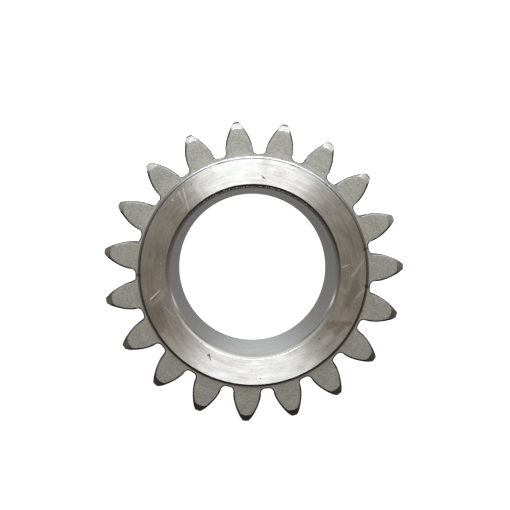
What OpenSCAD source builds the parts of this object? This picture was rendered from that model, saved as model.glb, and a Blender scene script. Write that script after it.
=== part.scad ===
/* [Teeth] */
// Number of teeth
teeth = 19; // [18:1:26]
// Module: pitch diameter for each tooth
tooth_module = 4; // [3.8:0.05:4.4]
// Pressure angle of the involute flanks, degrees
pressure_angle = 20; // [18:0.5:22]
// Profile shift, as a share of the module
profile_shift = 0.42; // [0.3:0.005:0.5]
// Addendum, as a share of the module
addendum = 1.08; // [0.8:0.01:1.1]
// Dedendum, as a share of the module
dedendum = 1.355; // [1.2:0.005:1.4]
// Radius of the fillets in the tooth roots
root_fillet = 1.3; // [0.8:0.05:1.5]
// Width across the toothed rim
face_w = 35.5; // [20:0.5:60]
// Turn of the first tooth from the +X axis, degrees
first_tooth = 77.65; // [0:0.05:90]

/* [Tooth edges] */
// Width of the edge bevel at the foot of a flank
bevel_foot = 0.35; // [0.2:0.05:0.5]
// Width of the edge bevel half way up a flank
bevel_mid = 0.55; // [0.4:0.05:0.7]
// Width of the edge bevel at the tip corner of a flank
bevel_tip = 1.2; // [1:0.05:1.4]
// Turned bevel across the tooth tips
tip_bevel = 2.3; // [1:0.05:2.5]

/* [Hub] */
// Height of each hub face above the tooth faces
hub_step = 1.25; // [1.2:0.05:2]
// Set-back of the hub's edge from the root circle
hub_setback = 1.5; // [1.1:0.05:3]
// Radius of the cove between the hub and the tooth faces
hub_cove = 1; // [0.3:0.05:1]
// Bevel on the hub's edge
hub_edge = 0.2; // [0.1:0.05:0.2]

/* [Bore] */
// Diameter of the bore
bore_d = 48.5; // [40:0.1:52]
// Width of the bevel at each mouth of the bore
mouth_bevel = 0.65; // [0.3:0.05:1.2]
// Width of the slow taper behind each mouth bevel
lead_in_w = 0.4; // [0.2:0.05:0.6]
// Length of the slow taper behind each mouth bevel
lead_in_len = 1.4; // [0.8:0.1:3]

/* [Fineness] */
// Straight facets along one flank
flank_steps = 12; // [6:1:20]
// Straight facets round one root fillet
fillet_steps = 5; // [3:1:8]

/* [Hidden] */
$fn = 180;
steel = [0.62, 0.61, 0.58];

// Room that a cutter takes beyond what it cuts
over = 1;
// Depth that a tooth is rooted in the rim, and the rim's rise over the feet of the fillets
rooted = 1.5;
rim_rise = 0.02;
// Length that a flank is drawn on past the tip circle, which trims it
past_tip = 0.25;

// Heights: the part lies on its lower hub face
width = face_w + 2 * hub_step;
low_face = hub_step;
high_face = hub_step + face_w;

// Radii of the toothing, and half the angle from one tooth to the next
pitch_r = teeth * tooth_module / 2;
base_r = pitch_r * cos(pressure_angle);
tip_r = pitch_r + (profile_shift + addendum) * tooth_module;
root_r = pitch_r + (profile_shift - dedendum) * tooth_module;
half_pitch = 180 / teeth;

// Radii of the hub and the bore
hub_r = root_r - hub_setback;
bore_r = bore_d / 2;

// Points from a radius and an angle, and a side's points mirrored into the other side
function at(r, a) = [r * cos(a), r * sin(a)];
function mirrored(points) = [for (i = [len(points) - 1:-1:0]) [points[i].x, -points[i].y]];

// Involute flank: half the angle that a tooth takes up at radius r
function involute(a) = tan(a) * 180 / PI - a;
function pressure_at(r) = acos(min(1, base_r / r));
pitch_half_angle = (90 + 2 * profile_shift * tan(pressure_angle) * 180 / PI) / teeth;
base_half_angle = pitch_half_angle + involute(pressure_angle);
function tooth_half_angle(r) = base_half_angle - involute(pressure_at(r));

// Root fillet: an arc that touches the flank's foot and the root circle
foot_gap_angle = half_pitch - base_half_angle;
fillet_at = root_r + root_fillet;
fillet_angle = base_half_angle + asin(root_fillet / fillet_at);
fillet_top_r = sqrt(fillet_at * fillet_at - root_fillet * root_fillet);

// One side of a tooth's outline: down the flank in even steps of roll, round the fillet, into the rim
roll_foot = tan(pressure_at(max(base_r, fillet_top_r)));
roll_tip = tan(pressure_at(tip_r + past_tip));
function roll(i) = roll_foot + (roll_tip - roll_foot) * i / flank_steps;
function flank_r(i) = base_r * sqrt(1 + roll(i) * roll(i));
function fillet_turn(i) = base_half_angle - 90 - (90 + base_half_angle - fillet_angle) * i / fillet_steps;
tooth_side = concat(
    [for (i = [flank_steps:-1:0]) at(flank_r(i), tooth_half_angle(flank_r(i)))],
    [for (i = [0:fillet_steps]) at(fillet_at, fillet_angle) + at(root_fillet, fillet_turn(i))],
    [at(root_r - rooted, fillet_angle)]
);

// A flank's edge bevel is cut by a round cone. Its circle on the tooth face goes through three
// points, each set in from the flank by the width of the bevel there.
function set_in(r, w) = at(r, tooth_half_angle(r)) - at(w, tooth_half_angle(r) + 90 - pressure_at(r));
function circle_centre(a, b, c) =
    [
        a * a * (b.y - c.y) + b * b * (c.y - a.y) + c * c * (a.y - b.y),
        a * a * (c.x - b.x) + b * b * (a.x - c.x) + c * c * (b.x - a.x)
    ] / (2 * (a.x * (b.y - c.y) + b.x * (c.y - a.y) + c.x * (a.y - b.y)));
bevel_start = set_in(base_r, bevel_foot);
bevel_centre = circle_centre(
    bevel_start,
    set_in((base_r + tip_r) / 2, bevel_mid),
    set_in(tip_r, bevel_tip)
);
bevel_r = norm(bevel_start - bevel_centre);
bevel_reach = bevel_tip + over;

// Half the width of a tooth space at the flanks' feet, and the radius at which such a circle
// rests on the root
space_r = base_r * sin(foot_gap_angle);
space_at = root_r + space_r;

// Cove that blends the hub's side into the tooth face
module cove_profile() {
    translate([hub_r, low_face - hub_cove])
        difference() {
            translate([-over, 0]) square(hub_cove + over);
            translate([hub_cove, 0]) circle(hub_cove, $fn = 64);
        }
}

// Bore with a slow taper and a bevel at each mouth
module bore_profile() {
    taper_r = bore_r + lead_in_w;
    taper_end = mouth_bevel + lead_in_len;
    polygon([
        [0, -over],
        [taper_r + mouth_bevel + over, -over],
        [taper_r, mouth_bevel],
        [bore_r, taper_end],
        [bore_r, width - taper_end],
        [taper_r, width - mouth_bevel],
        [taper_r + mouth_bevel + over, width + over],
        [0, width + over]
    ]);
}

// Turned body: hub, and rim up to the root circle
module turned_body() {
    rotate_extrude()
        difference() {
            union() {
                translate([0, low_face]) square([root_r + rim_rise, face_w]);
                polygon([
                    [0, 0],
                    [hub_r - hub_edge, 0],
                    [hub_r, hub_edge],
                    [hub_r, width - hub_edge],
                    [hub_r - hub_edge, width],
                    [0, width]
                ]);
                cove_profile();
                translate([0, width]) mirror([0, 1]) cove_profile();
            }
            bore_profile();
        }
}

// Ring with turned bevels on its outer edges, which trims the tooth tips
module tip_ring() {
    inner_r = root_r - rooted - over;
    rotate_extrude()
        polygon([
            [inner_r, low_face],
            [tip_r - tip_bevel, low_face],
            [tip_r, low_face + tip_bevel],
            [tip_r, high_face - tip_bevel],
            [tip_r - tip_bevel, high_face],
            [inner_r, high_face]
        ]);
}

// Barrel with 45 degree ends, which trims both ends of one flank to their bevels
module flank_barrel() {
    translate(bevel_centre)
        rotate_extrude()
            polygon([
                [0, low_face - over],
                [bevel_r - over, low_face - over],
                [bevel_r + bevel_reach, low_face + bevel_reach],
                [bevel_r + bevel_reach, high_face - bevel_reach],
                [bevel_r - over, high_face + over],
                [0, high_face + over]
            ]);
}

// One tooth on the +X axis: the involute outline, trimmed to its bevels
module tooth() {
    intersection() {
        linear_extrude(width) polygon(concat(tooth_side, mirrored(tooth_side)));
        tip_ring();
        flank_barrel();
        mirror([0, 1, 0]) flank_barrel();
    }
}

// Cone on the +X axis that bevels the lower end of a root, and nicks the hub's edge beside it
module root_bevel() {
    reach = hub_step + over;
    translate([space_at, 0, low_face - reach])
        cylinder(h = reach + space_r, r1 = space_r + bevel_foot + reach, r2 = bevel_foot);
}

// Each piece in turn round the gear, from the first tooth by a number of half pitches
module round_gear(offset) {
    for (i = [0:teeth - 1])
        rotate(first_tooth + half_pitch * (2 * i + offset)) children();
}

module planet_gear() {
    color(steel)
        difference() {
            union() {
                turned_body();
                round_gear(0) tooth();
            }
            round_gear(1) root_bevel();
            translate([0, 0, width]) mirror([0, 0, 1]) round_gear(1) root_bevel();
        }
}

planet_gear();
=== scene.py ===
"""Looks of a planet gear: one steel gear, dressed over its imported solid.

Sizes in the dataclasses are in millimetres and degrees, as a drawing of the gear would give
them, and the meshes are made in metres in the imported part's own frame: the gear lies on its
lower hub face, with its axis on Z.
"""

import logging
import math
from dataclasses import dataclass, field
from enum import Enum
from typing import Any

import bpy
import numpy as np
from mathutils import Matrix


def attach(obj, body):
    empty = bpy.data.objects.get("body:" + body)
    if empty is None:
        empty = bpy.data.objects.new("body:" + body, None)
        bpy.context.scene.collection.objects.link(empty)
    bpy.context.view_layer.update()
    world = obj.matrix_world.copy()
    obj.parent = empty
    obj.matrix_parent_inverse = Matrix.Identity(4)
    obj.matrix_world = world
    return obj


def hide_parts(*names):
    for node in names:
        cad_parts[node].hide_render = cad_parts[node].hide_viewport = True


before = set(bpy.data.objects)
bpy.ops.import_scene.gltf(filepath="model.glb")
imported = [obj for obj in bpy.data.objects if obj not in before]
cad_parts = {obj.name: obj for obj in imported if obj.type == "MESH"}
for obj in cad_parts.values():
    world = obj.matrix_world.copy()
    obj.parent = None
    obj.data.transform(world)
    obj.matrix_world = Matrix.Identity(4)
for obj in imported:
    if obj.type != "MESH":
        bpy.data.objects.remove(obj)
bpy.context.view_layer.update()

LOG = logging.getLogger("planet_gear")
MM = 0.001

# Samples along a curve that is searched for a point.
SEARCH_STEPS = 4000
# Straight steps along an arc that rounds a corner.
ARC_STEPS = 2
# Span of a noise's usual values, which is stretched to 0 and 1.
NOISE_SPAN = (0.3, 0.7)
# Span of the clouds from clean to stained steel, and the share that they shift roughness by.
CLOUD_SPAN = (0.35, 0.7)
CLOUD_ROUGHNESS = 0.07

Array = np.ndarray
Socket = bpy.types.NodeSocket
Value = float | tuple | Socket


class Zone(Enum):
    """Surfaces of the gear, each with its own finish. The value is its material slot's index."""

    BORE = 0
    MOUTH = 1
    HUB_FACE = 2
    HUB_EDGE = 3
    HUB_SIDE = 4
    TOOTH_FACE = 5
    TIP_BEVEL = 6
    FLANK_BEVEL = 7
    FLANK = 8


class MarkKind(Enum):
    """Kinds of mark that handling has left on the gear. The nicks' near-black colour is painted
    shade.
    """

    NICK = "nick"
    SCRATCH = "scratch"
    SMEAR = "smear"
    STAIN = "stain"
    RUST = "rust"


# ---- Small helpers ----


def polar(radius: float | Array, angle: float | Array) -> Array:
    """Returns the points at a radius and an angle in degrees, one in each row."""
    turn = np.radians(angle)
    return np.stack(np.broadcast_arrays(radius * np.cos(turn), radius * np.sin(turn)), -1)


def turned(points: Array, angle: float) -> Array:
    """Returns 2-D points turned about the axis by an angle in degrees."""
    c, s = math.cos(math.radians(angle)), math.sin(math.radians(angle))
    return points @ np.array([[c, s], [-s, c]])


def unit(vectors: Array) -> Array:
    """Returns the vectors scaled to length one."""
    return vectors / np.linalg.norm(vectors, axis=-1, keepdims=True)


def soft_ramp(depth: Array, blend: float) -> Array:
    """Ramp that is zero below zero and rises as x above it, with its corner rounded.

    The formula is half of x plus the root of x squared plus the blend squared.

    Args:
        depth: the values of x.
        blend: size of the rounded corner.

    Returns:
        The ramp's height at each value.
    """
    return 0.5 * (depth + np.sqrt(depth * depth + blend * blend))


def rounded_line(corners: Array, radii: list, support: float = 0.03) -> Array:
    """Line through corners, each corner replaced by an arc that touches both sides.

    An arc's ends lie at radius times the tangent of half the turn from the corner, and its other
    points on the quadratic curve that the corner controls. A further point on each side keeps its
    shading off the flats.

    Args:
        corners: the line's corners, one in each row.
        radii: the radius at each inner corner.
        support: distance of the further points from the arc's ends.

    Returns:
        The points of the rounded line.
    """
    t = np.linspace(0, 1, ARC_STEPS + 1)[:, None]
    pieces = [corners[:1]]
    for before, corner, after, radius in zip(corners, corners[1:], corners[2:], radii):
        to_before, to_after = unit(before - corner), unit(after - corner)
        half_turn = 0.5 * (math.pi - math.acos(float(np.clip(to_before @ to_after, -1, 1))))
        reach = radius * math.tan(half_turn)
        start, end = corner + reach * to_before, corner + reach * to_after
        arc = (1 - t) ** 2 * start + 2 * t * (1 - t) * corner + t ** 2 * end
        pieces += [start[None] + support * to_before, arc, end[None] + support * to_after]
    pieces.append(corners[-1:])
    return np.concatenate(pieces)


def add_object(name: str, data: bpy.types.ID) -> bpy.types.Object:
    """Makes an object of some data and puts it in the scene."""
    made = bpy.data.objects.new(name, data)
    bpy.context.scene.collection.objects.link(made)
    return made


# ---- Sizes ----


@dataclass(frozen=True)
class ToothSizes:
    """Sizes of the involute toothing and of the bevels on its ends.

    A tip's corners are cut back by corner_cut. The edge below a bevel is broken over a width, and
    falls by broken_slope for each unit of it. The tip bevel's inner line sags by arch_sag.
    """

    count: int = 19
    module: float = 4.0
    pressure_angle: float = 20.0
    profile_shift: float = 0.42
    addendum: float = 1.08
    dedendum: float = 1.355
    root_fillet: float = 1.3
    face_width: float = 35.5
    first: float = 77.65
    bevel_foot: float = 0.45
    bevel_mid: float = 0.55
    bevel_tip: float = 1.2
    tip_bevel: float = 2.3
    corner_cut: float = 0.3
    tip_broken: float = 0.65
    arch_sag: float = 0.32
    edge_broken: float = 0.26
    broken_slope: float = 1.65

    @property
    def pitch_r(self) -> float:
        """Radius of the pitch circle."""
        return self.count * self.module / 2

    @property
    def base_r(self) -> float:
        """Radius of the base circle, where the involute starts."""
        return self.pitch_r * math.cos(math.radians(self.pressure_angle))

    @property
    def tip_r(self) -> float:
        """Radius over the tips of the teeth."""
        return self.pitch_r + (self.profile_shift + self.addendum) * self.module

    @property
    def root_r(self) -> float:
        """Radius at the roots of the teeth."""
        return self.pitch_r + (self.profile_shift - self.dedendum) * self.module

    @property
    def half_pitch(self) -> float:
        """Half the angle from one tooth to the next."""
        return 180 / self.count

    @property
    def base_half_angle(self) -> float:
        """Half the angle that a tooth takes up at the base circle."""
        slope = math.tan(math.radians(self.pressure_angle))
        involute = math.degrees(slope) - self.pressure_angle
        return (90 + 2 * self.profile_shift * math.degrees(slope)) / self.count + involute

    @property
    def space_r(self) -> float:
        """Half the width of a tooth space at the base circle."""
        return self.base_r * math.sin(math.radians(self.half_pitch - self.base_half_angle))

    def half_angle(self, radius: float | Array) -> Array:
        """Half the angle that a tooth takes up at a radius: the base's less the involute there."""
        pressure = np.arccos(np.minimum(1, self.base_r / np.asarray(radius, float)))
        return self.base_half_angle - np.degrees(np.tan(pressure) - pressure)

    def flank(self, radius: float | Array) -> Array:
        """Points of the upper flank of a tooth on the X axis, at these radii."""
        return polar(np.asarray(radius, float), self.half_angle(radius))

    def set_in(self, radius: float, width: float) -> Array:
        """Point set in from the flank by a width, square to the flank."""
        pressure = math.degrees(math.acos(min(1, self.base_r / radius)))
        return self.flank(radius) - polar(width, self.half_angle(radius) + 90 - pressure)

    def bevel_circle(self) -> tuple:
        """Circle in which a flank's bevel cone meets the tooth face, through three set-in points.

        Returns:
            The circle's centre and its radius.
        """
        a = self.set_in(self.base_r, self.bevel_foot)
        b = self.set_in((self.base_r + self.tip_r) / 2, self.bevel_mid)
        c = self.set_in(self.tip_r, self.bevel_tip)
        sides = 2 * np.array([b - a, c - a])
        centre = np.linalg.solve(sides, [b @ b - a @ a, c @ c - a @ a])
        return centre, float(np.linalg.norm(a - centre))


@dataclass(frozen=True)
class HubSizes:
    """Sizes of the hub, its raised faces and its coves."""

    step: float = 1.25
    setback: float = 1.5
    cove: float = 0.8
    edge_width: float = 0.2
    edge_height: float = 0.36
    edge_round: float = 0.03
    edge_support: float = 0.012


@dataclass(frozen=True)
class BoreSizes:
    """Sizes of the bore and its two mouths."""

    diameter: float = 48.5
    mouth_bevel: float = 0.65
    lead_in_width: float = 0.4
    lead_in_length: float = 1.4
    edge_round: float = 0.05
    taper_round: float = 1.0


@dataclass(frozen=True)
class Mark:
    """A mark on the gear: a stroke between two points, in millimetres in the gear's frame."""

    kind: MarkKind
    start: tuple
    end: tuple
    width: float
    strength: float


def strokes(kind: MarkKind, *rows: tuple, height: float = 38.0) -> list:
    """Marks of one kind, each from both ends, a width and a strength, by default on the hub."""
    return [Mark(kind, (*start, height)[:3], (*end, height)[:3], width, strength)
            for start, end, width, strength in rows]


# Marks that the photo shows: on the hub face, or at a height of their own below it.
MARKS = (
    *strokes(MarkKind.NICK,
        ((2.38, 27.69), (3.56, 26.6), 0.16, 0.6), ((2.81, 27.2), (3.36, 26.77), 0.27, 1.0),
        ((-13.12, -24.18), (-12.77, -23.74), 0.2, 1.0),
        ((-12.71, -23.8), (-12.25, -25.59), 0.17, 0.9),
        ((-12.83, -24.15), (-12.48, -25.18), 0.28, 0.4),
        ((-17.7, 25.33), (-17.96, 24.75), 0.2, 0.6), ((2.09, -30.8), (2.2, -30.89), 0.24, 0.8),
        ((19.02, -19.45), (19.17, -19.6), 0.26, 0.8),
        ((17.98, -22.71), (18.13, -22.79), 0.22, 0.6),
        ((-14.18, -20.29), (-14.01, -20.43), 0.3, 0.8),
        # These four strokes lie at the gaps' centres on the hub edge, where the root bevels' cones
        # cut it: painted shade, not nicks.
        ((32.28, 6.47, 37.6), (33.15, 6.64, 36.8), 0.9, 0.7),
        ((32.63, -4.36, 37.6), (33.5, -4.47, 36.8), 0.95, 0.7),
        ((-32.9, -1.07, 37.6), (-33.75, -1.1, 36.8), 0.85, 0.65),
        ((21.5, 24.93, 37.6), (22.0, 25.51, 36.8), 0.65, 0.35),
        ((-23.71, 5.08, 29.44), (-23.77, 4.82, 28.49), 0.35, 0.9),
        ((-21.81, 10.61, 25.67), (-21.93, 10.36, 23.43), 0.38, 0.8),
        ((-18.93, 15.16, 19.27), (-19.04, 15.02, 15.73), 0.3, 0.6)),
    *strokes(MarkKind.SCRATCH,
        ((-29.62, -7.99), (-26.83, -5.26), 0.15, 1.0),
        ((-20.32, 24.18), (-18.62, 17.81), 0.18, 0.35),
        ((-25.67, -10.09), (-22.48, -13.12), 0.12, 0.35),
        ((25.82, 1.28), (27.81, 2.17), 0.16, 0.5), ((-23.31, 20.72), (-23.08, 20.55), 0.25, 0.5)),
    *strokes(MarkKind.SMEAR,
        ((-25.1, -5.34), (-28.5, -9.11), 0.9, 0.35),
        ((-22.3, -11.25), (-20.81, -13.46), 0.4, 0.8),
        ((-21.64, 22.85), (-20.32, 20.17), 0.5, 0.5),
        ((-15.94, 24.18), (-14.27, 21.5), 0.9, 0.5), ((28.41, -1.34), (31.84, 3.3), 0.5, 0.8),
        ((29.42, -7.56), (32.04, -5.14), 0.45, 0.8), ((25.5, -4.91), (26.94, -6.35), 0.9, 0.4),
        ((20.46, -19.89), (23.05, -18.16), 1.2, 0.4)),
    *strokes(MarkKind.STAIN,
        ((21.9, -15.42), (27.66, -14.85), 1.5, 0.8),
        ((23.92, -17.58), (25.93, -15.85), 1.3, 0.8), ((29.39, -4.33), (27.09, -9.23), 2.0, 0.6),
        ((-29.07, -11.25), (-26.77, -17.01), 2.6, 0.6),
        ((-30.8, 0.27), (-29.65, -5.49), 2.2, 0.4)),
    *strokes(MarkKind.RUST,
        ((11.13, 30.77), (12.28, 30.31), 0.4, 0.9)),
)


# ---- Shader nodes ----


class NodeBench:
    """Adds nodes to a tree and joins them, so that a finish reads as a list of steps."""

    def __init__(self, tree: bpy.types.NodeTree) -> None:
        """Takes the tree to work on."""
        self.tree = tree

    def feed(self, socket: Socket, value: Value) -> None:
        """Joins a socket to another, or sets its value."""
        if isinstance(value, bpy.types.NodeSocket):
            self.tree.links.new(value, socket)
        else:
            socket.default_value = value

    def add(self, kind: str, inputs: dict | None = None, **settings: Any) -> bpy.types.Node:
        """Adds a node.

        Args:
            kind: the node's type name.
            inputs: values or sockets for its inputs, by name or index.
            **settings: the node's own properties.

        Returns:
            The new node.
        """
        node = self.tree.nodes.new(kind)
        for name, value in settings.items():
            setattr(node, name, value)
        for name, value in (inputs or {}).items():
            self.feed(node.inputs[name], value)
        return node

    def math(self, operation: str, *terms: Value, clamp: bool = False) -> Socket:
        """Result of a Math node on the terms."""
        return self.add("ShaderNodeMath", dict(enumerate(terms)), operation=operation,
                        use_clamp=clamp).outputs[0]

    def times(self, first: Value, second: Value) -> Socket:
        """Product of two values."""
        return self.math("MULTIPLY", first, second)

    def vector(self, operation: str, *terms: Value, out: int = 0) -> Socket:
        """Result of a Vector Math node on the terms: output 0 is a vector, 1 a value."""
        return self.add("ShaderNodeVectorMath", dict(enumerate(terms)),
                        operation=operation).outputs[out]

    def scale(self, vector: Value, factor: Value) -> Socket:
        """The vector times a factor."""
        return self.add("ShaderNodeVectorMath", {0: vector, 3: factor},
                        operation="SCALE").outputs[0]

    def split(self, vector: Socket) -> bpy.types.NodeOutputs:
        """The vector's three parts."""
        return self.add("ShaderNodeSeparateXYZ", {0: vector}).outputs

    def join(self, x: Value, y: Value, z: Value) -> Socket:
        """Vector of three parts."""
        return self.add("ShaderNodeCombineXYZ", {0: x, 1: y, 2: z}).outputs[0]

    def place(self) -> Socket:
        """Place in the object's own coordinates, in metres."""
        return self.add("ShaderNodeTexCoord").outputs["Object"]

    def fit(self, value: Value, span: tuple, to: tuple = (0.0, 1.0), soft: bool = True) -> Socket:
        """Maps a value's span to another, clamped at both ends.

        Args:
            value: what is mapped.
            span: its lowest and highest value.
            to: what these two become.
            soft: whether the change starts and ends gently.

        Returns:
            The mapped value.
        """
        node = self.add("ShaderNodeMapRange", dict(enumerate((value, *span, *to))),
                        interpolation_type="SMOOTHSTEP" if soft else "LINEAR")
        return node.outputs[0]

    def mix(self, share: Value, first: Value, second: Value, blend: str = "MIX") -> Socket:
        """Colour that goes from the first to the second by a share."""
        node = self.add("ShaderNodeMix", {0: share, 6: first, 7: second}, data_type="RGBA",
                        blend_type=blend)
        return node.outputs[2]

    def noise(self, vector: Value, scale: Value, detail: float, roughness: float) -> Socket:
        """Noise between 0 and 1 at a scale, read at a vector."""
        return self.add("ShaderNodeTexNoise", {"Vector": vector, "Scale": scale, "Detail": detail,
                                               "Roughness": roughness}).outputs[0]

    def group(self, tree: bpy.types.NodeTree, **inputs: Value) -> bpy.types.Node:
        """Places a node group with its own values, an underscore standing for a space."""
        node = self.add("ShaderNodeGroup", node_tree=tree)
        for name, value in inputs.items():
            self.feed(node.inputs[name.replace("_", " ").capitalize()], value)
        return node


class Effects:
    """Node groups that more than one finish uses. Each is built once and placed with values."""

    # Scale of the broad lines against the fine ones, and of the noise that makes strokes waver.
    BROAD_SHARE, DRIFT_SCALE = 0.22, 420.0
    # A stroke's share of its width at the start, what it loses to the end, and its even core.
    STROKE_START, STROKE_LOSS, STROKE_CORE = 1.15, 0.5, 0.35

    def __init__(self) -> None:
        """Builds every group."""
        self.cut_lines = self._cut_lines()
        self.grain = self._grain()
        self.stroke = self._stroke()
        self.specks = self._specks()

    @staticmethod
    def _new(name: str, inputs: dict, outputs: tuple) -> tuple:
        """Starts a node group.

        Args:
            name: the group's name.
            inputs: default values by name. A tuple makes a vector socket.
            outputs: names of the outputs, all plain values.

        Returns:
            The group's tree, a bench for it, and the sockets of its inputs and outputs.
        """
        tree = bpy.data.node_groups.new(name, "ShaderNodeTree")
        for label, value in inputs.items():
            kind = "NodeSocketVector" if isinstance(value, tuple) else "NodeSocketFloat"
            socket = tree.interface.new_socket(label, in_out="INPUT", socket_type=kind)
            socket.default_value = value
        for label in outputs:
            tree.interface.new_socket(label, in_out="OUTPUT", socket_type="NodeSocketFloat")
        n = NodeBench(tree)
        return tree, n, n.add("NodeGroupInput").outputs, n.add("NodeGroupOutput").inputs

    def _cut_lines(self) -> bpy.types.NodeTree:
        """Fine lines that a turning or grinding tool leaves round the axis.

        The noise is read at the radius plus the height, squeezed, and at the direction from the
        axis, stretched. So the lines run round the gear on faces and in the bore alike.

        Returns:
            A group with a value for fine lines and one for broad ones.
        """
        tree, n, given, made = self._new(
            "cut_lines", {"Fineness": 4000.0, "Stretch": 4.0}, ("Fine", "Broad"))
        place = n.place()
        flat = n.vector("MULTIPLY", place, (1.0, 1.0, 0.0))
        radius = n.vector("LENGTH", flat, out=1)
        stretch = n.math("DIVIDE", given["Stretch"], n.math("MAXIMUM", radius, MM))
        turn = n.split(n.scale(flat, stretch))
        across = n.math("ADD", radius, n.split(place)[2])
        for label, share, detail in (("Fine", 1.0, 3.0), ("Broad", self.BROAD_SHARE, 2.0)):
            pitch = n.times(given["Fineness"], share)
            spot = n.join(n.times(across, pitch), turn[0], turn[1])
            lines = n.noise(spot, 1.0, detail, 0.6)
            n.feed(made[label], n.fit(lines, NOISE_SPAN, soft=False))
        return tree

    def _grain(self) -> bpy.types.NodeTree:
        """Even grain of blasted steel, and the cloudy stains that lie over it.

        Returns:
            A group with a value for the grain and one for the clouds.
        """
        tree, n, given, made = self._new(
            "grain", {"Fineness": 4000.0, "Cloud size": 0.004}, ("Grain", "Clouds"))
        place = n.place()
        grain = n.noise(place, given["Fineness"], 4.0, 0.65)
        n.feed(made["Grain"], n.fit(grain, NOISE_SPAN, soft=False))
        cloud = n.math("DIVIDE", 1.0, given["Cloud size"])
        n.feed(made["Clouds"], n.noise(place, cloud, 4.0, 0.6))
        return tree

    def _stroke(self) -> bpy.types.NodeTree:
        """Mask of a stroke: one on the line between two points, falling to nothing at its width.

        The line's nearest point is its start plus a share of the line, held between 0 and 1. The
        stroke narrows to its end, and fades outward from its core.

        Returns:
            A group with the stroke's mask.
        """
        tree, n, given, made = self._new(
            "stroke", {"Start": (0.0, 0.0, 0.0), "End": (0.001, 0.0, 0.0), "Width": 0.0002,
                       "Waver": 0.0}, ("Mask",))
        place = n.place()
        drift = n.add("ShaderNodeTexNoise", {
            "Vector": place, "Scale": self.DRIFT_SCALE, "Detail": 3.0}).outputs[1]
        drift = n.vector("SUBTRACT", drift, (0.5, 0.5, 0.5))
        place = n.vector("ADD", place, n.scale(drift, given["Waver"]))
        line = n.vector("SUBTRACT", given["End"], given["Start"])
        reach = n.vector("SUBTRACT", place, given["Start"])
        along = n.math("DIVIDE", n.vector("DOT_PRODUCT", reach, line, out=1),
                       n.vector("DOT_PRODUCT", line, line, out=1), clamp=True)
        away = n.vector("LENGTH", n.vector("SUBTRACT", reach, n.scale(line, along)), out=1)
        taper = n.math("SUBTRACT", self.STROKE_START, n.times(along, self.STROKE_LOSS))
        share = n.math("DIVIDE", away, n.times(given["Width"], taper))
        n.feed(made["Mask"], n.fit(share, (self.STROKE_CORE, 1.0), (1.0, 0.0)))
        return tree

    def _specks(self) -> bpy.types.NodeTree:
        """Scattered specks: the cores of some of the cells of a Voronoi pattern.

        Returns:
            A group with the specks' mask.
        """
        tree, n, given, made = self._new(
            "specks", {"Fineness": 900.0, "Share": 0.1, "Size": 0.3}, ("Mask",))
        cells = n.add("ShaderNodeTexVoronoi", {"Vector": n.place(),
                                               "Scale": given["Fineness"]})
        core = n.fit(cells.outputs["Distance"], (0.0, 1.0), (1.0, 0.0), soft=False)
        core = n.math("SUBTRACT", core, n.math("SUBTRACT", 1.0, given["Size"]))
        core = n.math("DIVIDE", core, given["Size"], clamp=True)
        lot = n.split(cells.outputs["Color"])[0]
        chosen = n.math("LESS_THAN", lot, given["Share"])
        n.feed(made["Mask"], n.times(core, chosen))
        return tree


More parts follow.
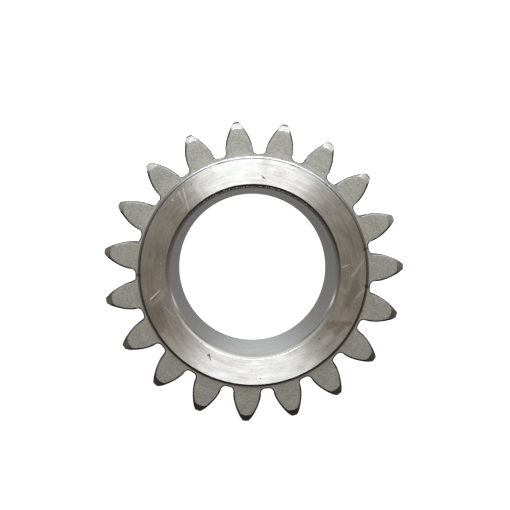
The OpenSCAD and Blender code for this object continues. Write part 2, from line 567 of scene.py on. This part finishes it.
@dataclass(frozen=True)
class SteelFinish:
    """A finish of the steel: how it was cut or blasted, and how it has stained since. Some are
    darker copies of the steel, with shade painted into their colour.
    """

    name: str
    colour: tuple
    stain: tuple
    stain_share: float
    roughness: float
    line_arc: float
    cloud_size: float
    anisotropy: float = 0.0
    line_pitch: float = 0.5
    line_depth: float = 0.0
    line_tone: float = 0.08
    grain_pitch: float = 0.6
    grain_depth: float = 0.0
    grain_tone: float = 0.0
    speck_share: float = 0.0

    def material(self, effects: Effects, marks: tuple) -> bpy.types.Material:
        """Builds the finish's material.

        Args:
            effects: the shared node groups.
            marks: marks that lie on surfaces of this finish.

        Returns:
            The new material.
        """
        made = bpy.data.materials.new(self.name)
        made.use_nodes = True
        made.node_tree.nodes.clear()
        n = NodeBench(made.node_tree)
        lines = n.group(effects.cut_lines, fineness=1 / (self.line_pitch * MM),
                        stretch=self.line_arc).outputs
        grain = n.group(effects.grain, fineness=1 / (self.grain_pitch * MM),
                        cloud_size=self.cloud_size * MM).outputs
        clouds = n.fit(grain["Clouds"], CLOUD_SPAN)
        stained = n.times(clouds, self.stain_share)
        colour = n.mix(stained, (*self.colour, 1.0), (*self.stain, 1.0))
        both_lines = n.math("ADD", lines["Broad"], lines["Fine"])
        texture = n.math("ADD", n.times(both_lines, 0.5 * self.line_tone),
                         n.times(grain["Grain"], self.grain_tone))
        tone = n.math("ADD", 1.0 - 0.5 * (self.line_tone + self.grain_tone), texture)
        colour = n.mix(1.0, colour, n.join(tone, tone, tone), "MULTIPLY")
        rough = n.fit(clouds, (0.0, 1.0), (self.roughness * (1 - CLOUD_ROUGHNESS),
                                           self.roughness * (1 + CLOUD_ROUGHNESS)))
        height = n.math("ADD", n.times(lines["Fine"], self.line_depth * MM),
                        n.times(grain["Grain"], self.grain_depth * MM))
        layers = []
        if self.speck_share:
            specks = n.group(effects.specks, share=self.speck_share).outputs[0]
            layers.append((specks, SPECK_LOOK))
        for kind, look in MARK_LOOKS.items():
            of_kind = [mark for mark in marks if mark.kind is kind]
            if of_kind:
                layers.append((self._strokes(n, effects, of_kind), look))
        anisotropy = self.anisotropy
        for mask, look in layers:
            colour = n.mix(n.times(mask, look.cover), colour, (*look.colour, 1.0))
            rough = n.math("ADD", rough, n.times(mask, look.roughness))
            height = n.math("SUBTRACT", height, n.times(mask, look.depth * MM))
            even = n.math("SUBTRACT", 1.0, n.times(mask, look.scatter))
            anisotropy = n.times(anisotropy, even)
        bump = n.add("ShaderNodeBump", {"Height": height, "Distance": 1.0, "Strength": 1.0})
        shader = n.add("ShaderNodeBsdfPrincipled", {
            "Base Color": colour, "Metallic": 1.0, "Roughness": rough,
            "Anisotropic": anisotropy, "Anisotropic Rotation": 0.25,
            "Normal": bump.outputs[0]})
        if self.anisotropy:
            n.feed(shader.inputs["Tangent"], n.add(
                "ShaderNodeTangent", direction_type="RADIAL", axis="Z").outputs[0])
        n.add("ShaderNodeOutputMaterial", {0: shader.outputs[0]})
        return made

    @staticmethod
    def _strokes(n: NodeBench, effects: Effects, marks: list) -> Socket:
        """Mask in which any of the marks lies.

        Args:
            n: bench of the finish's tree.
            effects: the shared node groups.
            marks: at least one mark.

        Returns:
            The strongest of the marks' strokes at each place.
        """
        mask = 0.0
        for mark in marks:
            start, end = (tuple(MM * c for c in point) for point in (mark.start, mark.end))
            stroke = n.group(effects.stroke, start=start, end=end, width=mark.width * MM,
                             waver=mark.width * MM * STROKE_WAVER).outputs[0]
            mask = n.math("MAXIMUM", mask, n.times(stroke, mark.strength))
        return mask


@dataclass(frozen=True)
class MarkLook:
    """How a kind of mark shows.

    It has a colour, the share that covers the steel, what it adds to the roughness, a depth,
    and the share by which it breaks up the tool's lines, so that light scatters evenly.
    """

    colour: tuple
    cover: float
    roughness: float
    depth: float = 0.0
    scatter: float = 0.0


# Share of a stroke's width by which it wavers.
STROKE_WAVER = 0.8
SPECK_LOOK = MarkLook((1.0, 0.98, 0.93), 0.8, 0.15)
MARK_LOOKS = {
    MarkKind.SMEAR: MarkLook((0.86, 0.81, 0.75), 0.45, 0.02, 0.0, 0.16),
    MarkKind.STAIN: MarkLook((0.46, 0.375, 0.31), 0.85, 0.02),
    MarkKind.SCRATCH: MarkLook((0.95, 0.93, 0.88), 0.9, 0.0, 0.0, 0.8),
    MarkKind.RUST: MarkLook((0.16, 0.07, 0.03), 0.75, 0.3, 0.0, 1.0),
    # A nick is a real dent in the bump, but its near-black colour is painted shade in it.
    MarkKind.NICK: MarkLook((0.03, 0.028, 0.025), 0.95, 0.1, 0.03),
}


# ---- The gear ----

# Rows of the mesh over a tooth's end, in millimetres or shares of a width: on the tooth face,
# round the bevel's start, round the broken edge, and where the cone that bevels a root cuts.
FACE_SHARES = (0.35, 0.7)
BEND_REACH, FACE_SHARE_CAP, BEVEL_SHARE_CAP, BEND_BLEND = 0.025, 0.3, 0.25, 0.006
BEND_ROWS = (0.3, 1.0)
BEFORE_EDGE, EDGE_SHARES, BELOW_EDGE = (0.04, 0.0), (0.15, 0.85, 1.0), 0.1
CONE_BLEND, CONE_LEAST, CONE_FIRST_ROW = 0.03, 0.004, 8


@dataclass
class PlanetGear:
    """The gear: one closed surface that runs round the section and round the axis."""

    teeth: ToothSizes = field(default_factory=ToothSizes)
    hub: HubSizes = field(default_factory=HubSizes)
    bore: BoreSizes = field(default_factory=BoreSizes)
    marks: tuple = MARKS
    tip_steps: int = 4
    upper_steps: int = 2
    corner_steps: int = 4
    flank_steps: int = 12
    fillet_steps: int = 6
    root_steps: int = 2
    cove_steps: int = 6
    face_rows: int = 2
    hidden_face_rows: int = 1
    flat_run: float = 0.5
    corner_gap: float = 0.05

    @property
    def width(self) -> float:
        """Width over both hub faces."""
        return self.teeth.face_width + 2 * self.hub.step

    @property
    def high_face(self) -> float:
        """Height of the upper tooth face."""
        return self.width - self.hub.step

    @property
    def hub_r(self) -> float:
        """Radius of the hub."""
        return self.teeth.root_r - self.hub.setback

    def half_tooth(self) -> tuple:
        """Half of a tooth on the X axis, from the middle of its tip to the middle of the gap.

        The outline goes along the tip circle, round the cut corner, down the involute in even
        steps, round the root fillet and along the root circle. Each point of it has a partner
        where its bevel meets the tooth face: on the tip bevel's circle, on the flank bevel's
        circle, or straight in from the fillet.

        Returns:
            The outline's points, their partners, the bevel's drop at each point, the width of
            the broken edge there and whether the point is past the tip's part of the bevel.
        """
        t = self.teeth
        centre, circle_r = t.bevel_circle()
        face_r = t.tip_r - t.tip_bevel

        corner = t.flank(t.tip_r)
        tip_end = t.half_angle(t.tip_r) - math.degrees(t.corner_cut / t.tip_r)
        tip = polar(t.tip_r, np.linspace(0, float(tip_end), self.tip_steps + 1))
        reach = np.linspace(t.base_r, t.tip_r, SEARCH_STEPS)
        points = t.flank(reach)
        from_corner = np.linalg.norm(points - corner, axis=1)
        top_r = float(np.interp(-t.corner_cut, -from_corner, reach))
        start = t.flank(top_r)
        s = np.linspace(0, 1, self.corner_steps + 1)[1:, None]
        cut = (1 - s) ** 2 * tip[-1] + 2 * s * (1 - s) * corner + s ** 2 * start

        # The flank meets both bevels where they drop it by the same amount.
        drop_gap = (reach - face_r) - (np.linalg.norm(points - centre, axis=1) - circle_r)
        shared_r = min(float(np.interp(0, drop_gap, reach)), top_r - self.corner_gap)
        upper = np.linspace(top_r, shared_r, self.upper_steps + 1)[1:]
        rolls = np.sqrt((np.array([shared_r, t.base_r]) / t.base_r) ** 2 - 1)
        roll = np.linspace(rolls[0], rolls[1], self.flank_steps - 1)[1:]
        flank = t.flank(np.concatenate([upper, t.base_r * np.sqrt(1 + roll * roll)]))

        fillet_at = t.root_r + t.root_fillet
        fillet_angle = t.base_half_angle + math.degrees(math.asin(t.root_fillet / fillet_at))
        fillet_centre = polar(fillet_at, fillet_angle)
        turn = np.linspace(t.base_half_angle - 90, fillet_angle - 180, self.fillet_steps + 1)[1:]
        fillet = fillet_centre + polar(t.root_fillet, turn)
        root = polar(t.root_r, np.linspace(fillet_angle, t.half_pitch, self.root_steps + 1)[1:])

        tip_part = np.concatenate([tip, cut, flank[:self.upper_steps]])
        lower = flank[self.upper_steps:]
        outline = np.concatenate([tip_part, lower, fillet, root])

        # Partners on an arch over the tooth face, up to where it meets the flank bevel's circle.
        join_r = face_r - t.arch_sag
        turns = np.linspace(0, float(t.half_angle(join_r)), SEARCH_STEPS // 2)
        excess = np.linalg.norm(polar(join_r, turns) - centre, axis=1) - circle_r
        join_angle = float(np.interp(0, excess, turns))
        steps = np.linalg.norm(np.diff(tip_part, axis=0), axis=1)
        share = np.concatenate([[0], np.cumsum(steps)]) / steps.sum()
        tip_mates = polar(face_r - t.arch_sag * share ** 2, join_angle * share)

        # Partners on the flank bevel's circle: straight towards its centre, fanned near the tip.
        way = outline[len(tip_part) - 1:len(tip_part) + len(lower)] - centre
        bearing = np.degrees(np.arctan2(way[:, 1], way[:, 0]))
        join = polar(join_r, join_angle) - centre
        fan = math.degrees(math.atan2(join[1], join[0])) - bearing[0]
        fade = np.linspace(1, 0, len(bearing))[1:] ** 2
        flank_mates = centre + polar(circle_r, bearing[1:] + fan * fade)

        # Partners of the fillet and the root: straight in, a foot bevel's width away.
        inward = np.concatenate([unit(fillet - fillet_centre), -unit(root)])
        foot_mates = np.concatenate([fillet, root]) + t.bevel_foot * inward
        mates = np.concatenate([tip_mates, flank_mates, foot_mates])

        tip_drop = np.linalg.norm(tip_part, axis=1) - face_r
        flank_drop = np.linalg.norm(lower - centre, axis=1) - circle_r
        foot_drop = np.full(len(foot_mates), t.bevel_foot)
        drop = np.concatenate([tip_drop, flank_drop, foot_drop])
        broken = np.full(len(outline), t.edge_broken)
        broken[:len(tip) + 1] = t.tip_broken
        broken[len(tip) + 1:len(tip_part)] = np.linspace(
            t.tip_broken, t.edge_broken, len(tip_part) - len(tip))[1:]
        on_flank = np.arange(len(outline)) >= len(tip_part) - 1
        return outline, mates, drop, broken, on_flank

    def columns(self) -> dict:
        """The half tooth mirrored and repeated round the gear.

        Returns:
            For every column: its angle on the hub, its outline point and partner, the bevel's
            drop, the broken edge's width, whether it is on a flank or a root, and the centre of
            the cone that bevels the nearest root.
        """
        t = self.teeth
        outline, mates, drop, broken, on_flank = self.half_tooth()
        last = len(outline) - 1
        order = np.abs(np.arange(-last, last))
        side = np.where(np.arange(-last, last) < 0, -1.0, 1.0)
        flip = np.stack([np.ones_like(side), side], -1)
        across = order * side / last * t.half_pitch
        gaps = polar(t.root_r + t.space_r, side * t.half_pitch)
        angles = t.first + 2 * t.half_pitch * np.arange(t.count)

        def around(points: Array) -> Array:
            """The points of one tooth, repeated round the gear."""
            return np.concatenate([turned(points, a) for a in angles])

        return {
            "angle": (angles[:, None] + across).ravel(),
            "outline": around(outline[order] * flip),
            "mate": around(mates[order] * flip),
            "gap": around(gaps),
            "drop": np.tile(drop[order], t.count),
            "broken": np.tile(broken[order], t.count),
            "on_flank": np.tile(on_flank[order], t.count),
        }

    def hub_profile(self, face_rows: int) -> tuple:
        """Section of the hub from the middle of the bore, over the hub face, to the tooth face.

        Args:
            face_rows: straight steps across the hub face.

        Returns:
            The section's points as radius and height, and the zone of each step between them.
        """
        h, b, t = self.hub, self.bore, self.teeth
        bore_r, top = b.diameter / 2, self.width
        lead_r = bore_r + b.lead_in_width
        mouth = rounded_line(np.array([
            [bore_r, top / 2],
            [bore_r, top - b.mouth_bevel - b.lead_in_length],
            [lead_r, top - b.mouth_bevel],
            [lead_r + b.mouth_bevel, top],
            [lead_r + b.mouth_bevel + self.flat_run, top],
        ]), [b.taper_round, b.edge_round, b.edge_round])[:-1]
        side = rounded_line(np.array([
            [self.hub_r - h.edge_width - self.flat_run, top],
            [self.hub_r - h.edge_width, top],
            [self.hub_r, top - h.edge_height],
            [self.hub_r, self.high_face + h.cove],
        ]), [h.edge_round, h.edge_round], support=h.edge_support)
        face = np.linspace(mouth[-1], side[0], face_rows + 1)[1:-1]
        turn = np.radians(np.linspace(180, 270, self.cove_steps + 1))[1:]
        cove = np.stack([self.hub_r + h.cove * (1 + np.cos(turn)),
                         self.high_face + h.cove * (1 + np.sin(turn))], -1)

        # A rounded corner has five points. A bevel's zone runs from its first corner's arc to the
        # end of its second one's, and the taper belongs to the bore.
        wall_steps, mouth_steps, edge_steps = 6, 8, 7
        zones = ([Zone.BORE] * wall_steps + [Zone.MOUTH] * mouth_steps
                 + [Zone.HUB_FACE] * (len(face) + 4) + [Zone.HUB_EDGE] * edge_steps
                 + [Zone.HUB_SIDE] * (len(side) + len(cove) - 3 - edge_steps))
        return np.concatenate([mouth, face, side, cove]), zones

    def half_section(self, columns: dict, face_rows: int) -> tuple:
        """Rows of points from the middle of the bore over the upper face to the flank's middle.

        Hub rows are the profile turned about the axis. Tooth rows lie on the straight line from
        the cove's foot to each outline point's partner, and from there to the outline point,
        where the height falls with the distance past the partner. Over the rows from within the
        bore's mouth to where the edge is broken, the cone that bevels each root lowers what
        rises above it.

        Args:
            columns: what the method of that name returns.
            face_rows: straight steps across the hub face.

        Returns:
            The points by row, column and axis, and the zone of each step from row to row.
        """
        t, face = self.teeth, self.high_face
        profile, zones = self.hub_profile(face_rows)
        turn = np.radians(columns["angle"])
        way = np.stack([np.cos(turn), np.sin(turn)], -1)
        hub = np.concatenate([
            profile[:, None, :1] * way, np.broadcast_to(profile[:, 1:, None],
                                                        (len(profile), len(way), 1))], -1)
        foot, mate, edge = hub[-1, :, :2], columns["mate"], columns["outline"]
        drop, inset = columns["drop"][:, None], columns["broken"][:, None]
        run_in = np.linalg.norm(mate - foot, axis=1, keepdims=True)
        run_out = np.linalg.norm(edge - mate, axis=1, keepdims=True)
        to_mate, to_edge = unit(mate - foot), unit(edge - mate)
        slope = drop / run_out
        near_in = np.minimum(BEND_REACH, FACE_SHARE_CAP * run_in)
        near_out = np.minimum(BEND_REACH, BEVEL_SHARE_CAP * run_out)
        rows, heights = [], []

        def lay(zone: Zone, point: Array, fall: Array) -> None:
            """Adds a row at a fall below the tooth face, and the zone of the step to it."""
            rows.append(point)
            heights.append(face - fall)
            zones.append(zone)

        for share in FACE_SHARES:
            lay(Zone.TOOTH_FACE, foot + (mate - foot) * share, 0 * drop)
        for share in BEND_ROWS[::-1]:
            step = -near_in * share
            lay(Zone.TOOTH_FACE, mate + to_mate * step, soft_ramp(step * slope, BEND_BLEND))
        for share in BEND_ROWS:
            step = near_out * share
            lay(Zone.TIP_BEVEL, mate + to_edge * step, soft_ramp(step * slope, BEND_BLEND))
        for back in BEFORE_EDGE:
            flat_end = run_out - inset - back
            lay(Zone.TIP_BEVEL, mate + to_edge * flat_end, slope * flat_end)
        lower = drop - slope * inset
        for share in EDGE_SHARES:
            lay(Zone.TIP_BEVEL if share < 1 else Zone.FLANK,
                edge - to_edge * inset * (1 - share), lower + t.broken_slope * inset * share)
        lay(Zone.FLANK, edge, lower + t.broken_slope * inset + BELOW_EDGE)
        lay(Zone.FLANK, edge, np.full_like(drop, face - self.width / 2))
        tooth = np.concatenate([np.stack(rows), np.stack(heights)], -1)
        made = np.concatenate([hub, tooth])
        from_gap = np.linalg.norm(made[..., :2] - columns["gap"], axis=-1)
        cone = face + from_gap - (t.space_r + t.bevel_foot)
        cut = slice(CONE_FIRST_ROW, len(hub) + CONE_FIRST_ROW)
        excess = soft_ramp(made[cut, :, 2] - cone[cut], CONE_BLEND)
        made[cut, :, 2] -= np.where(excess > CONE_LEAST, excess, 0)
        return made, zones

    def surface(self) -> tuple:
        """The whole gear as a grid that closes on itself both ways.

        Returns:
            The vertices in metres, the quads, and the material index of each quad.
        """
        columns = self.columns()
        upper, zones = self.half_section(columns, self.face_rows)
        lower, low_zones = self.half_section(columns, self.hidden_face_rows)
        lower[..., 2] = self.width - lower[..., 2]
        grid = np.concatenate([upper, lower[-2:0:-1]])
        slots = np.array([z.value for z in zones + low_zones[::-1]])
        high, wide = grid.shape[:2]
        index = np.arange(high * wide).reshape(high, wide)
        nxt = np.roll(index, -1, 0)
        quads = np.stack([index, nxt, np.roll(nxt, -1, 1), np.roll(index, -1, 1)], -1)
        slots = np.repeat(slots[:, None], wide, axis=1)
        # Bevel quads past the tip take the flank bevels' darker copy of the steel, which paints
        # shade.
        past_tip = columns["on_flank"] & np.roll(columns["on_flank"], -1)
        slots[(slots == Zone.TIP_BEVEL.value) & past_tip] = Zone.FLANK_BEVEL.value
        return grid.reshape(-1, 3) * MM, quads.reshape(-1, 4), slots.ravel()

    def build(self) -> bpy.types.Object:
        """Makes the gear's mesh and its object.

        Returns:
            The object, at the origin, with no materials yet.
        """
        points, quads, slots = self.surface()
        mesh = bpy.data.meshes.new("planet_gear_steel")
        mesh.vertices.add(len(points))
        mesh.vertices.foreach_set("co", points.ravel())
        mesh.loops.add(quads.size)
        mesh.loops.foreach_set("vertex_index", quads.ravel())
        mesh.polygons.add(len(quads))
        for name, values in {
                "loop_start": np.arange(0, quads.size, 4), "loop_total": np.full(len(quads), 4),
                "material_index": slots, "use_smooth": np.ones(len(quads), bool)}.items():
            mesh.polygons.foreach_set(name, values)
        mesh.update()
        mesh.validate()
        return add_object("planet_gear_steel", mesh)

    def dress(self, made: bpy.types.Object, effects: Effects) -> None:
        """Gives each zone of the gear its finish.

        Args:
            made: the gear's object.
            effects: the shared node groups.
        """
        on_bore = tuple(m for m in self.marks if m.start[2] < self.high_face)
        on_face = tuple(m for m in self.marks if m not in on_bore)
        on_side = tuple(m for m in on_face if m.start[2] < self.width)
        marks = {Zone.BORE: on_bore, Zone.HUB_FACE: on_face, Zone.HUB_EDGE: on_face,
                 Zone.HUB_SIDE: on_side, Zone.TOOTH_FACE: on_side}
        for zone in Zone:
            finish = FINISHES[zone].material(effects, marks.get(zone, ()))
            made.data.materials.append(finish)


FINISHES = {
    Zone.BORE: SteelFinish(
        "ground_bore", (0.64, 0.63, 0.62), (0.52, 0.51, 0.50), 0.35, roughness=0.14,
        line_arc=9.0, line_tone=0.1, grain_depth=0.0005, grain_tone=0.12, cloud_size=6.0),
    Zone.MOUTH: SteelFinish(
        "turned_mouth", (0.58, 0.57, 0.54), (0.5, 0.48, 0.44), 0.25, roughness=0.02,
        line_pitch=0.3, line_arc=6.0, line_tone=0.05, cloud_size=5.0),
    Zone.HUB_FACE: SteelFinish(
        "turned_hub_face", (0.685, 0.65, 0.595), (0.585, 0.52, 0.46), 0.4, roughness=0.53,
        anisotropy=0.97, line_pitch=0.36, line_arc=5.0, line_depth=0.0004, line_tone=0.5,
        grain_pitch=0.7, grain_tone=0.1, cloud_size=9.0, speck_share=0.1),
    # The hub edge's near-black colour is painted shade: it draws the dark line round the hub's
    # edge, which the steel's reflections alone don't give.
    Zone.HUB_EDGE: SteelFinish(
        "hub_edge_painted_shade", (0.09, 0.085, 0.08), (0.05, 0.045, 0.04), 0.6, roughness=0.3,
        line_pitch=0.3, line_arc=8.0, line_tone=0.1, grain_pitch=0.7, grain_tone=0.3,
        cloud_size=3.0),
    # The hub side is the hub face's turned steel made much darker: painted shade that dims the
    # lamp's highlight in the cove.
    Zone.HUB_SIDE: SteelFinish(
        "turned_hub_side_painted_shade", (0.25, 0.243, 0.23), (0.18, 0.172, 0.16), 0.4, roughness=0.32,
        line_pitch=0.3, line_arc=8.0, line_tone=0.06, grain_pitch=0.7, grain_tone=0.12,
        cloud_size=3.0),
    Zone.TOOTH_FACE: SteelFinish(
        "blasted_tooth_face", (0.519, 0.52, 0.483), (0.44, 0.44, 0.402), 0.6, roughness=0.36,
        line_pitch=0.4, line_arc=5.0, line_tone=0.3, grain_pitch=0.55, grain_depth=0.002,
        grain_tone=0.55, cloud_size=2.2),
    Zone.TIP_BEVEL: SteelFinish(
        "turned_tip_bevel", (0.64, 0.63, 0.60), (0.54, 0.52, 0.48), 0.4, roughness=0.13,
        line_arc=10.0, grain_depth=0.0003, grain_tone=0.15, cloud_size=1.6),
    # The flank bevels are the tip bevels' steel made much darker: painted shade, on their lit
    # sides too.
    Zone.FLANK_BEVEL: SteelFinish(
        "flank_bevel_painted_shade", (0.27, 0.265, 0.255), (0.2, 0.195, 0.185), 0.5, roughness=0.2,
        line_arc=10.0, grain_depth=0.0005, grain_tone=0.3, cloud_size=1.6),
    Zone.FLANK: SteelFinish(
        "ground_flank", (0.58, 0.57, 0.54), (0.46, 0.44, 0.40), 0.45, roughness=0.3,
        line_arc=3.0, grain_pitch=0.5, grain_depth=0.001, grain_tone=0.08, cloud_size=5.0),
}


# ---- The studio ----


@dataclass
class Studio:
    """The stage: a pale floor, soft light from behind the gear's top, and the camera."""

    camera_at: tuple = (-2.29, 10.7, 266.75)
    view_distance: float = 230.0
    frame_width: float = 147.72
    sensor: float = 36.0
    shift: tuple = (0.0189, -0.0401)
    floor_size: float = 4.0
    lamp_lean: float = 58.0
    lamp_turn: float = 1.8
    lamp_away: float = 0.8
    lamp_size: tuple = (0.96, 0.5)
    lamp_power: float = 14.0
    lamp_colour: tuple = (0.887, 0.985, 1.12)

    def camera(self) -> None:
        """Makes the camera, looking straight down, and makes it the scene's."""
        data = bpy.data.cameras.new("camera")
        data.sensor_width = self.sensor
        data.lens = self.sensor * self.view_distance / self.frame_width
        data.shift_x, data.shift_y = self.shift
        data.clip_start = 0.01
        made = add_object("camera", data)
        made.location = [MM * c for c in self.camera_at]
        bpy.context.scene.camera = made

    def floor(self) -> bpy.types.Object:
        """Makes the floor, level with the gear's lower face.

        Returns:
            The floor's object.
        """
        half = self.floor_size / 2
        mesh = bpy.data.meshes.new("floor")
        mesh.from_pydata([(-half, -half, 0), (half, -half, 0), (half, half, 0), (-half, half, 0)],
                         [], [(0, 1, 2, 3)])
        made = add_object("floor", mesh)
        paint = bpy.data.materials.new("pale_floor")
        paint.use_nodes = True
        shader = paint.node_tree.nodes["Principled BSDF"]
        for name, value in FLOOR_PAINT.items():
            shader.inputs[name].default_value = value
        mesh.materials.append(paint)
        made.visible_glossy = False
        return made

    def light(self) -> None:
        """Makes the soft surrounding light, brightest along +Y."""
        world = bpy.data.worlds.new("studio")
        world.use_nodes = True
        world.node_tree.nodes.clear()
        n = NodeBench(world.node_tree)
        way = n.add("ShaderNodeTexCoord").outputs["Generated"]
        x, y, z = n.split(way)
        balance = n.fit(x, (-1.0, 1.0), SIDE_BALANCE, soft=False)
        sides = n.mix(n.fit(z, HORIZON_SPAN), (1.0, 1.0, 1.0, 1.0),
                      n.join(balance, balance, balance))
        sky = n.scale(n.vector("MULTIPLY", self._ramp(n, y, SKY_STOPS), sides), SKY_STRENGTH)
        above = (0.0, 0.0, 0.0)
        for toward, narrowest, colour in GLOWS:
            facing = n.vector("DOT_PRODUCT", way, toward, out=1)
            above = n.vector("ADD", above, n.scale(colour, n.fit(facing, (narrowest, 1.0))))
        shade = n.mix(n.fit(z, GROUND_SPAN), n.vector("ADD", sky, above),
                      self._ramp(n, y, GROUND_STOPS))
        seen = n.add("ShaderNodeLightPath").outputs["Is Camera Ray"]
        shade = n.mix(seen, shade, BACKDROP)
        back = n.add("ShaderNodeBackground", {0: shade, 1: 1.0})
        n.add("ShaderNodeOutputWorld", {0: back.outputs[0]})
        bpy.context.scene.world = world

    @staticmethod
    def _ramp(n: NodeBench, value: Socket, stops: tuple) -> Socket:
        """Colour that follows a value from -1 to 1.

        Args:
            n: bench of the tree.
            value: what the colour follows.
            stops: a value and its colour at each stop.

        Returns:
            The colour.
        """
        node = n.add("ShaderNodeValToRGB", {0: n.fit(value, (-1.0, 1.0), soft=False)})
        elements = node.color_ramp.elements
        while len(elements) < len(stops):
            elements.new(0.5)
        for element, (at, colour) in zip(elements, stops):
            element.position = (at + 1) / 2
            element.color = (*colour, 1.0)
        return node.outputs[0]

    def lamp(self) -> None:
        """Makes one wide soft lamp, high on the +Y side and turned to the gear."""
        data = bpy.data.lights.new("softbox", "AREA")
        data.shape = "RECTANGLE"
        data.size, data.size_y = self.lamp_size
        data.energy = self.lamp_power
        data.color = self.lamp_colour
        made = add_object("softbox", data)
        lean, turn = math.radians(self.lamp_lean), math.radians(self.lamp_turn)
        made.location = [self.lamp_away * c for c in (
            math.sin(lean) * math.sin(turn), math.sin(lean) * math.cos(turn), math.cos(lean))]
        made.rotation_euler = (-lean, 0, -turn)

    def build(self) -> bpy.types.Object:
        """Makes the whole stage and returns its floor."""
        self.camera()
        self.light()
        self.lamp()
        bpy.context.scene.view_settings.view_transform = "Standard"
        return self.floor()


FLOOR_PAINT = {
    "Base Color": (0.8, 0.8, 0.8, 1.0),
    "Roughness": 0.9,
    "Specular IOR Level": 0.1,
    "Emission Color": (1.0, 1.0, 1.0, 1.0),
    "Emission Strength": 1.0,
}
# Light from above: its share by the height along Y of the way it comes from, and its strength.
SKY_STRENGTH = 2.0
SKY_STOPS = (
    (-1.0, (0.015, 0.0135, 0.012)), (-0.6, (0.035, 0.031, 0.027)),
    (-0.3, (0.055, 0.049, 0.042)), (0.0, (0.088, 0.078, 0.066)),
    (0.34, (0.165, 0.157, 0.145)), (0.5, (0.25, 0.245, 0.235)),
    (0.64, (0.41, 0.41, 0.405)), (0.86, (0.66, 0.67, 0.675)),
    (1.0, (0.74, 0.75, 0.76)),
)
# Light from below, by the height along Y, and the heights along Z between which it takes over.
GROUND_SPAN = (-0.28, -0.45)
GROUND_STOPS = (
    (-1.0, (0.03, 0.03, 0.03)), (-0.3, (0.12, 0.116, 0.112)),
    (-0.08, (0.18, 0.176, 0.172)), (-0.02, (0.21, 0.206, 0.202)),
    (0.04, (0.24, 0.237, 0.234)), (0.09, (0.28, 0.278, 0.277)),
    (0.125, (0.42, 0.424, 0.428)), (0.15, (0.78, 0.792, 0.805)),
    (0.2, (0.8, 0.812, 0.825)), (0.26, (0.28, 0.28, 0.28)),
    (0.5, (0.28, 0.28, 0.28)), (0.58, (0.8, 0.806, 0.795)),
    (0.66, (0.8, 0.806, 0.795)), (0.75, (0.13, 0.13, 0.13)),
    (1.0, (0.1, 0.1, 0.1)),
)
# Share of the light from the -X and the +X side, and the span of Z in which it comes in.
SIDE_BALANCE = (0.55, 1.2)
HORIZON_SPAN = (-0.1, 0.05)
# Colour that the camera sees past the floor.
BACKDROP = (0.9, 0.9, 0.9, 1.0)
# Broad glows: the way to each, the cosine of its reach, and its colour.
GLOWS = (
    ((0.0, 0.0, 1.0), 0.0, (0.1, 0.094, 0.084)),
    ((0.05, 0.38, 0.92), 0.87, (0.42, 0.422, 0.41)),
    ((0.0, -0.35, 0.94), 0.85, (0.19, 0.182, 0.168)),
    ((-0.72, 0.2, 0.66), 0.6, (0.14, 0.128, 0.108)),
    ((0.9, 0.25, -0.36), 0.93, (0.1, 0.099, 0.094)),
    ((-0.85, -0.4, -0.36), 0.93, (0.08, 0.075, 0.066)),
)


def main() -> None:
    """Builds the stage and the gear, and reports each."""
    logging.basicConfig(level=logging.INFO, format="%(name)s: %(message)s")
    floor = Studio().build()
    LOG.info("stage ready")
    gear = PlanetGear()
    steel = gear.build()
    gear.dress(steel, Effects())
    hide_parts("planet_gear")
    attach(steel, "root")
    LOG.info("%s: %d quads", steel.name, len(steel.data.polygons))


if __name__ == "__main__":
    main()
